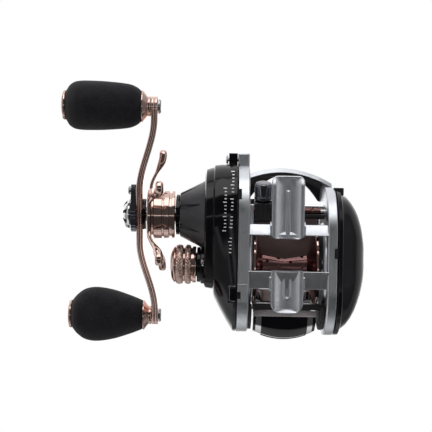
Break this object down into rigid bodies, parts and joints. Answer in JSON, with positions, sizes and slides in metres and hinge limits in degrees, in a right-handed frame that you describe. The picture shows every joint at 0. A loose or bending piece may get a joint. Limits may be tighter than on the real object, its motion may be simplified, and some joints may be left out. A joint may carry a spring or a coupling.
{
  "type": "baitcasting reel",
  "caption": "Low-profile baitcasting reel with a double foam-knob handle, star drag, cast control knob, level wind and a reel foot.",
  "frame": {"origin": "middle of the front foot tab, on the seat face that lies on the rod", "axes": "+Z away from the rod, through the top of the reel; +Y towards the rod tip; +X towards the handle side"},
  "size_m": [0.1316, 0.1146, 0.0557],
  "materials": {
    "satin_silver": "satin silver cast aluminium",
    "gloss_black": "glossy black moulded cover",
    "matte_black": "matte black moulding",
    "black_chrome": "black chrome plate",
    "chrome": "bright chrome plate",
    "rose_gold": "rose gold anodised, bright",
    "copper_brown": "copper brown anodised, bright",
    "brass": "machined brass",
    "steel": "machined stainless steel",
    "foam_black": "closed-cell black foam",
    "carbon_fibre": "woven carbon washer",
    "ceramic_white": "polished ceramic"
  },
  "bodies": {
    "reel_body": {"frame": "satin_silver", "front_hood": "satin_silver", "hood_liner": "matte_black", "thumb_rest": "satin_silver", "handle_side_cover": "gloss_black", "palm_side_cover": "gloss_black", "bearing_cap": "gloss_black", "one_way_bearing": "steel", "drive_shaft_bearing": "steel", "pinion_bearing": "steel", "spool_bearing_handle_side": "steel", "spool_bearing_palm_side": "steel", "worm_bush": "steel", "worm_guard": "matte_black", "guide_rod": "chrome", "rear_cross_bar": "matte_black", "thumb_bar_guide_handle_side": "matte_black", "thumb_bar_guide_palm_side": "matte_black", "yoke_post_lower": "steel", "yoke_post_upper": "steel", "lug_screw": "steel", "cover_screw_1": "steel", "cover_screw_2": "steel", "brake_plate": "matte_black"},
    "spool_body": {"spool": "copper_brown", "spool_shaft": "steel"},
    "drive": {"drive_shaft": "steel", "level_wind_drive_gear": "brass", "ratchet_wheel": "steel", "main_gear": "brass", "drag_washer": "carbon_fibre", "drag_pressure_plate": "steel", "anti_reverse_sleeve": "steel", "handle_arm": "rose_gold", "handle_nut": "chrome", "nut_lock_plate": "black_chrome", "lock_plate_screw": "steel", "front_knob_post": "steel", "rear_knob_post": "steel"},
    "star": {"star_drag": "rose_gold"},
    "front_knob": {"front_knob_grip": "foam_black", "front_knob_collar": "rose_gold", "front_knob_cap": "rose_gold"},
    "rear_knob": {"rear_knob_grip": "foam_black", "rear_knob_collar": "rose_gold", "rear_knob_cap": "rose_gold"},
    "clutch": {"clutch_yoke": "steel"},
    "pinion": {"pinion_gear": "brass"},
    "thumb": {"thumb_bar": "gloss_black", "thumb_bar_lip": "rose_gold"},
    "worm": {"worm_shaft": "copper_brown", "worm_gear": "brass"},
    "carriage": {"line_guide": "matte_black", "line_guide_insert": "ceramic_white", "line_guide_pawl": "brass", "pawl_cap": "black_chrome"},
    "cast_control": {"tension_knob": "rose_gold", "tension_shim": "steel"},
    "brake_control": {"brake_dial": "black_chrome"},
    "brake_magnets": {"brake_magnet_ring": "steel"}
  },
  "joints": [
    {"name": "handle_spin", "type": "hinge", "parent": "reel_body", "child": "drive", "pos_m": [0.062, -0.0041, 0.022], "axis": [-1, 0, 0], "continuous": true},
    {"name": "spool_spin", "type": "hinge", "parent": "reel_body", "child": "spool_body", "pos_m": [0, -0.026, 0.022], "axis": [-1, 0, 0], "continuous": true},
    {"name": "thumb_press", "type": "slide", "parent": "reel_body", "child": "thumb", "axis": [0, 0, -1], "range_m": [0, 0.0045]},
    {"name": "clutch_slide", "type": "slide", "parent": "reel_body", "child": "clutch", "axis": [1, 0, 0], "range_m": [0, 0.0018]},
    {"name": "pinion_spin", "type": "hinge", "parent": "clutch", "child": "pinion", "pos_m": [0.027, -0.026, 0.022], "axis": [-1, 0, 0], "continuous": true},
    {"name": "worm_spin", "type": "hinge", "parent": "reel_body", "child": "worm", "pos_m": [0, -0.002, 0.01095], "axis": [-1, 0, 0], "continuous": true},
    {"name": "line_guide_travel", "type": "slide", "parent": "reel_body", "child": "carriage", "axis": [-1, 0, 0], "range_m": [0, 0.0205]},
    {"name": "star_turn", "type": "hinge", "parent": "drive", "child": "star", "pos_m": [0.055, -0.0041, 0.022], "axis": [1, 0, 0], "range_deg": [-150, 150]},
    {"name": "front_knob_spin", "type": "hinge", "parent": "drive", "child": "front_knob", "pos_m": [0.079, 0.04181, 0.00699], "axis": [1, 0, 0], "continuous": true},
    {"name": "rear_knob_spin", "type": "hinge", "parent": "drive", "child": "rear_knob", "pos_m": [0.079, -0.05001, 0.03701], "axis": [1, 0, 0], "continuous": true},
    {"name": "cast_control_turn", "type": "hinge", "parent": "reel_body", "child": "cast_control", "pos_m": [0.045, -0.026, 0.022], "axis": [1, 0, 0], "range_deg": [-180, 180]},
    {"name": "brake_dial_turn", "type": "hinge", "parent": "reel_body", "child": "brake_control", "pos_m": [-0.033, -0.026, 0.022], "axis": [-1, 0, 0], "range_deg": [0, 300]},
    {"name": "brake_magnet_shift", "type": "slide", "parent": "reel_body", "child": "brake_magnets", "axis": [1, 0, 0], "range_m": [0, 0.0012]}
  ],
  "couplings": [
    {"joint": "spool_spin", "follows": "handle_spin", "ratio": -6.3},
    {"joint": "pinion_spin", "follows": "handle_spin", "ratio": -6.3},
    {"joint": "worm_spin", "follows": "handle_spin", "ratio": -1.3684},
    {"joint": "clutch_slide", "follows": "thumb_press", "ratio": 0.4},
    {"joint": "brake_dial_turn", "follows": "brake_magnet_shift", "rad_per_m": 4363}
  ]
}
